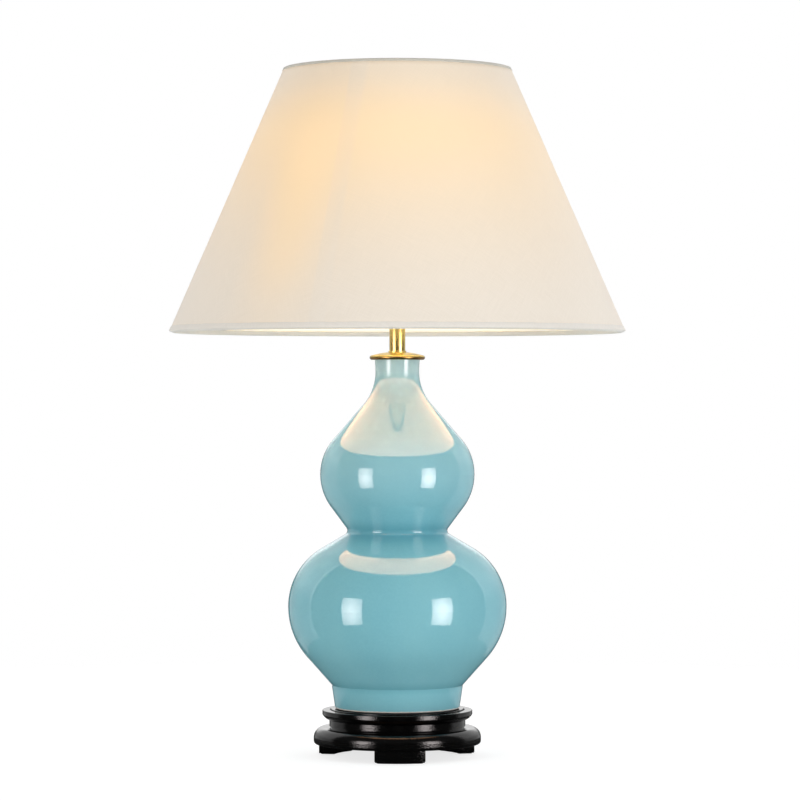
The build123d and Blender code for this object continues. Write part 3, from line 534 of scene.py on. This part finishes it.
def ring_of_cloth(name, loop, turns, shape):
    """Closed ring: the loop's points (along, depth) at each turn from the seam, moved by shape."""
    points, faces = [], []
    for turn in turns:
        angle = seam_angle + turn
        for along, depth in loop:
            radius, height = on_shade(*shape(along, depth, turn))
            points.append((radius * cos(angle), radius * sin(angle), height))
    count = len(loop)
    for column in range(len(turns)):
        this, other = column * count, (column + 1) % len(turns) * count
        for row in range(count):
            after = (row + 1) % count
            faces.append((this + row, this + after, other + after, other + row))
    mesh = bpy.data.meshes.new(name)
    mesh.from_pydata(points, [], faces)
    flat, polar = mesh.uv_layers.new(name="flat"), mesh.uv_layers.new(name="polar")
    for face in mesh.polygons:
        last_column = face.index // count == len(turns) - 1
        for corner in face.loop_indices:
            column, row = divmod(mesh.loops[corner].vertex_index, count)
            turn = 2 * pi if last_column and column == 0 else turns[column]
            along = loop[row][0]
            slant = apex_to_top + along
            swing = (turn - pi) * sin(cone_angle)
            flat.data[corner].uv = (slant * sin(swing), slant * cos(swing))
            polar.data[corner].uv = (turn * slant * sin(cone_angle), along)
    mesh.polygons.foreach_set("use_smooth", [True] * len(mesh.polygons))
    return mesh


# Columns all round, closer over the lap and one just before the seam
columns, lap_columns, just_before = 540, 60, 0.0002
lap_turn = lap_width / shade_top_radius
turns = sorted(
    set(spread(0.0, 2 * pi, columns)[:-1])
    | set(spread(0.0, lap_turn * 1.3, lap_columns))
    | {2 * pi - just_before}
)


def ripple(along, turn):
    """How far the stretched cloth stands off its backing."""
    down = along / cone_length
    slow = sin(3 * turn + 1.3) * sin(pi * down)
    quick = sin(17 * turn + 9 * down) + sin(29 * turn - 14 * down + 0.7)
    return 0.10 * mm * slow + 0.025 * mm * quick


def cloth_shape(along, depth, turn):
    """The outside follows the ripple, and stands up over the lap beside the seam."""
    if depth > cloth_thickness / 2:
        return along, depth
    arc = turn * (shade_top_radius + along * sin(cone_angle))
    rising, falling = arc / (1.5 * mm), 1 - (arc - lap_width) / (3 * mm)
    rise = lap_rise * max(0.0, min(1.0, rising, falling))
    return along, depth - rise - ripple(along, turn)


rows = 48
cloth_inset = 0.2 * mm
down_the_cloth = spread(cloth_inset, cone_length - cloth_inset, rows)
outside = [(s, 0.0) for s in down_the_cloth]
inside = [(s, cloth_thickness - hair) for s in reversed(down_the_cloth)]
cloth_panel = add_piece(
    "shade_cloth_panel",
    ring_of_cloth("shade_cloth_panel", outside + inside, turns, cloth_shape),
    "shade_cloth", "shade", "shade_cover",
)


def tape_loop(edge, inward, face):
    """Outline of a tape folded over an edge of the shade, as (along, depth)."""
    far = edge + inward * tape_width
    front = edge + inward * face
    fold = edge - inward * tape_thickness
    behind = tape_inner + tape_thickness
    corner, bend = 0.45 * mm, 0.13 * mm
    outer = [(front, -0.12 * mm), (front - inward * 0.3 * mm, -0.4 * mm)]
    outer += [
        (s, -tape_thickness)
        for s in spread(front - inward * 0.7 * mm, edge + inward * corner, 6)
    ]
    outer += [(fold + inward * bend, bend - tape_thickness)]
    outer += [(fold, depth) for depth in spread(corner, tape_inner - corner, 4)]
    outer += [(fold + inward * bend, behind - bend)]
    outer += [(s, behind) for s in spread(edge + inward * corner, far, 6)]
    inner = [(s, tape_inner) for s in spread(far, edge, 5)]
    inner += [(edge, depth) for depth in spread(hair + tape_inner * 0.66, 2 * hair, 2)]
    inner += [(s, -hair) for s in spread(edge + inward * 0.8 * mm, front, 5)]
    return outer + inner


# Notches in the top tape's inner side, where the arms come out
notch_half_width, notch_side = 2.0 * mm, 1.4 * mm


def tape_shape(edge, inward, notches):
    """The tape's free edges wander a little, and it is notched round the arms."""
    def shape(along, depth, turn):
        cut = (along - edge) * inward
        if cut > 0:
            wave = 0.12 * mm * sin(41 * turn) + 0.08 * mm * sin(97 * turn + 2.0)
            cut *= 1 + wave / tape_width
            for notch in notches if depth > tape_inner / 2 else ():
                off = abs((seam_angle + turn - notch + pi) % (2 * pi) - pi)
                gap = off * shade_top_radius - notch_half_width
                if gap < notch_side:
                    cut *= max(0.1, min(1.0, gap / notch_side))
        proud = 0.05 * mm * sin(53 * turn + 1.0) if depth < 0 else 0.0
        return edge + inward * cut, depth - proud

    return shape


# Columns closer together at the notches
top_turns = sorted(
    set(turns)
    | {
        (arm - seam_angle) % (2 * pi) + step * mm / shade_top_radius
        for arm in arm_angles
        for step in (-3.5, -3.0, -2.6, -2.2, -2.0, 0.0, 2.0, 2.2, 2.6, 3.0, 3.5)
    }
)
for name, node, edge, inward, face, notches, around in (
    ("shade_top_tape", "shade_top_trim", 0.0, 1, top_tape_face, arm_angles, top_turns),
    ("shade_bottom_tape", "shade_bottom_trim", cone_length, -1, tape_width, [], turns),
):
    loop, shape = tape_loop(edge, inward, face), tape_shape(edge, inward, notches)
    mesh = ring_of_cloth(name, loop, around, shape)
    add_piece(name, mesh, name, "shade", node)

# Felt pads, each a little inside the foot that it is glued under
foot_half_sweep, pad_border = radians(36.6 / 2), 1.6 * mm
pad_inner, pad_outer = 0.0646, 0.0786
pad_middle = (pad_inner + pad_outer) / 2
pad_half_sweep = foot_half_sweep - pad_border / pad_middle
# Share of the height, and how far the edge is drawn in there
pad_layers = ((0.0, 0.35 * mm), (0.12, 0.0), (0.5, 0.0), (0.88, 0.0), (1.0, 0.35 * mm))


def pad_outline():
    """A pad's rounded outline as (radius, angle from its middle), with a point every 0.7 mm."""
    corner, spacing = 2.2 * mm, 0.7 * mm
    quarter = spread(0.0, pi / 2, 8)
    corners = []
    for radius, way, sense in (
        (pad_outer, 1, 1), (pad_outer, -1, 1), (pad_inner, -1, -1), (pad_inner, 1, -1)
    ):
        reach = pad_half_sweep - corner / radius
        for turn in quarter[::-1] if way == sense else quarter:
            across = radius - sense * corner * (1 - cos(turn))
            corners.append((across, way * (reach + corner * sin(turn) / radius)))
    outline = []
    for (r0, a0), (r1, a1) in zip(corners, corners[1:] + corners[:1]):
        parts = max(1, int(hypot(r1 - r0, (a1 - a0) * r0) / spacing))
        outline += [
            (r0 + (r1 - r0) * part / parts, a0 + (a1 - a0) * part / parts)
            for part in range(parts)
        ]
    return outline


def pad_mesh(name, number, middle, bottom, top):
    outline = pad_outline()
    count = len(outline)
    points, faces = [], []
    for share, inset in pad_layers:
        for step, (radius, angle) in enumerate(outline):
            fray = 0.12 * mm * sin(7.3 * step + number) * (0.4 if inset else 1.0)
            toward = 1 - (inset + fray) / (9 * mm)
            r = pad_middle + (radius - pad_middle) * toward
            a = radians(middle) + angle * toward
            points.append((r * cos(a), r * sin(a), bottom + (top - bottom) * share))
    top_ring = (len(pad_layers) - 1) * count
    for ring in range(0, top_ring, count):
        for step in range(count):
            after = (step + 1) % count
            faces.append((ring + step, ring + after, ring + count + after, ring + count + step))
    faces.append(list(range(count))[::-1])
    faces.append(list(range(top_ring, top_ring + count)))
    mesh = bpy.data.meshes.new(name)
    mesh.from_pydata(points, [], faces)
    return mesh


for number, middle in enumerate((-90.0, 30.0, 150.0), 1):
    name, node = f"felt_foot_{number}", f"felt_pad_{number}"
    low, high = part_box(node)
    mesh = pad_mesh(name, number, middle, low.z, high.z)
    pad = add_piece(name, mesh, "felt", "lamp", node)

# ---------------------------------------------------------------- world


class Studio(Nodes):
    """What the world shows, by direction."""

    def background(self, strength, colour=rgb(1.0, 1.0, 1.0)):
        return self.fed(self.node("Background"), colour, strength)

    def ramp(self, value, *stops):
        """Straight runs between grey levels, each stop a position and a level."""
        made = self.node("ValToRGB")
        self.feed(made.inputs[0], value)
        elements = made.color_ramp.elements
        while len(elements) < len(stops):
            elements.new(0.5)
        for element, (position, level) in zip(elements, stops):
            element.position, element.color = position, grey(level)
        return made.outputs["Color"]


scene.world = bpy.data.worlds.new("studio")
scene.world.use_nodes = True
scene.world.node_tree.nodes.clear()
sky = Studio(scene.world.node_tree)
world_output = sky.node("OutputWorld")
direction = sky.node("TexCoord").outputs["Generated"]
to_side = sky.maths("ABSOLUTE", sky.along("X", direction))
to_back = sky.along("Y", direction)
upward = sky.along("Z", direction)

# Polished surfaces see a dark room in front, pale walls behind with a bright edge, and low
# down the white backdrop between two dark flags
walls = sky.ramp(
    to_back, (0.0, 0.05), (0.262, 0.05), (0.272, 0.95), (0.34, 0.50), (0.90, 0.48), (0.95, 1.0)
)
flags = sky.ramp(to_side, (0.0, 0.0), (0.11, 0.0), (0.14, 1.0), (0.33, 1.0), (0.38, 0.0))
low_down = sky.ramp(upward, (0.0, 1.0), (0.06, 1.0), (0.14, 0.0))
unflagged = sky.maths("SUBTRACT", 1.0, sky.times(flags, low_down, 0.94))
higher = sky.ramp(upward, (0.0, 0.5), (0.08, 0.5), (0.30, 1.0))
room = sky.background(sky.times(walls, unflagged, higher, 2.0))
# The lit ceiling over the shade's open top
ceiling = sky.background(5.2, rgb(1.0, 0.54, 0.28))
overhead = sky.ramp(upward, (0.0, 0.0), (0.86, 0.0), (0.90, 1.0))
mirrored = sky.mix_shaders(overhead, room, ceiling)
ambient = sky.background(0.455)
lighting = sky.mix_shaders(sky.ray("Glossy"), ambient, mirrored)
seen = sky.maths("MAXIMUM", sky.ray("Camera"), sky.ray("Transmission"))
white = sky.background(1.0)
sky.feed(world_output.inputs["Surface"], sky.mix_shaders(seen, lighting, white))

# ---------------------------------------------------------------- lamps


def around_lamp(azimuth, distance, height):
    """A place by its angle to the right of the camera."""
    angle = view_angle + radians(azimuth)
    return Vector((distance * cos(angle), distance * sin(angle), height))


def aim(thing, target):
    thing.rotation_euler = (target - thing.location).to_track_quat("-Z", "Y").to_euler()


def light(name, kind, power, colour, place):
    """A lamp that lights matt surfaces; the cards give the highlights."""
    data = bpy.data.lights.new(name, kind)
    data.energy, data.color = power, colour
    lamp = add_object(name, data)
    lamp.location = place
    lamp.visible_camera = lamp.visible_glossy = lamp.visible_transmission = False
    return lamp


area_target, area_height = Vector((0.0, 0.0, 0.30)), 1.1
for name, azimuth, distance, height, width, power, colour in (
    ("front_right", 52.0, 1.9, 0.62, 0.75, 14.4, (0.97, 0.985, 1.0)),
    ("front_left", -38.0, 1.9, 0.62, 0.75, 11.4, (1.0, 0.985, 0.95)),
    ("back_right", 135.0, 2.0, 0.9, 0.8, 10.5, (1.0, 1.0, 1.0)),
    ("back_left", -135.0, 2.0, 0.9, 0.8, 10.5, (1.0, 1.0, 1.0)),
):
    lamp = light(name, "AREA", power, colour, around_lamp(azimuth, distance, height))
    lamp.data.shape, lamp.data.size, lamp.data.size_y = "RECTANGLE", width, area_height
    aim(lamp, area_target)

bulb_lamp = light("bulb_light", "POINT", 0.95, (1.0, 0.88, 0.68), (0.0, 0.0, 0.600))
bulb_lamp.data.shadow_soft_size = 0.014


def link_light(source, name, state):
    """Light from source reaches only the vase, or everything but the vase."""
    group = bpy.data.collections.new(name)
    group.objects.link(nodes_by_name["ceramic_body"])
    group.collection_objects[0].light_linking.link_state = state
    source.light_linking.receiver_collection = group


# The photograph's exposure keeps the bulb's own light off the glaze, and shows its reflection
link_light(bulb_lamp, "lit_by_bulb", "EXCLUDE")
link_light(nodes_by_name["shade_lining"], "mirrors_lining", "INCLUDE")

# ---------------------------------------------------------------- cards and floor


def grid(name, corner, across, up, parts):
    """Flat stage mesh with a UV from 0 to 1 each way."""
    side = parts + 1
    cells = [(i, j) for j in range(side) for i in range(side)]
    points = [tuple(corner + across * (i / parts) + up * (j / parts)) for i, j in cells]
    faces = [
        (j * side + i, j * side + i + 1, (j + 1) * side + i + 1, (j + 1) * side + i)
        for i, j in cells if i < parts and j < parts
    ]
    mesh = bpy.data.meshes.new(name)
    mesh.from_pydata(points, [], faces)
    uv = mesh.uv_layers.new(name="card")
    for loop in mesh.loops:
        i, j = cells[loop.vertex_index]
        uv.data[loop.index].uv = (i / parts, j / parts)
    thing = add_object(name, mesh)
    return thing


def softbox(name, brightness):
    """Bright in the middle, a little dimmer outwards, and faded at its very edges."""
    look = Look(
        name, Base_Color=grey(0.0), Roughness=1.0, Emission_Color=rgb(1.0, 0.92, 0.91)
    )
    uv = look.uv("card")
    strength = brightness
    for axis in "XY":
        share = look.away_from(0.5, look.along(axis, uv))
        dim = look.span(share, 0.0, 0.5, 1.15, 0.72)
        strength = look.times(dim, look.span(share, 0.46, 0.5, 1.0, 0.0), strength)
    look.set("Emission Strength", strength)
    return look.material


# Softboxes that only glossy surfaces see
card_distance, card_bottom, card_top, card_width = 1.6, -0.45, 0.67, 0.66
for name, azimuth, brightness in (
    ("softbox_right", 47.0, 9.0),
    ("softbox_left", -47.5, 7.6),
):
    foot = around_lamp(azimuth, card_distance, card_bottom)
    across = Vector((-foot.y, foot.x, 0.0)).normalized() * card_width
    card = grid(name, foot - across / 2, across, Vector((0, 0, card_top - card_bottom)), 4)
    card.data.materials.append(softbox(name, brightness))
    card.visible_camera = card.visible_diffuse = False
    card.visible_transmission = card.visible_shadow = False


def floor_material():
    """White with the lamp's shadow, fading out; a glossy surface sees only a small table top."""
    look = Look("floor", Base_Color=grey(0.90), Roughness=1.0, Specular_IOR_Level=0.0)
    clear = look.node("BsdfTransparent").outputs[0]
    from_middle = look.number_from("LENGTH", look.place)

    def matt(level):
        return look.fed(look.node("BsdfDiffuse"), grey(level))

    white = look.fed(look.node("Emission"), grey(1.0), 0.76)
    white = look.fed(look.node("AddShader"), matt(0.36), white)
    seen = look.mix_shaders(look.span(from_middle, 0.5, 1.3, 1.0, 0.0), clear, white)
    table = look.mix_shaders(look.span(from_middle, 0.27, 0.30), matt(0.06), clear)
    plain = look.mix_shaders(look.ray("Camera"), look.shader.outputs[0], seen)
    look.feed(look.surface, look.mix_shaders(look.ray("Glossy"), plain, table))
    return look.material


floor_size = 4.0
floor_corner = Vector((-floor_size / 2, -floor_size / 2, 0.0))
floor = grid("floor", floor_corner, Vector((floor_size, 0, 0)), Vector((0, floor_size, 0)), 24)
floor.data.materials.append(floor_material())

# ---------------------------------------------------------------- camera

camera_data = bpy.data.cameras.new("photo_camera")
camera_data.lens, camera_data.sensor_width = lens, sensor_width
camera = add_object("photo_camera", camera_data)
camera.location = around_lamp(0.0, camera_distance, camera_height)
below_horizon = camera_distance * horizon_above_middle * sensor_width / (lens * picture_width)
beside = Vector((-sin(view_angle), cos(view_angle), 0.0)) * lamp_left_of_middle
aim(camera, beside + Vector((0.0, 0.0, camera_height - below_horizon)))
scene.camera = camera
scene.view_settings.view_transform = "Standard"
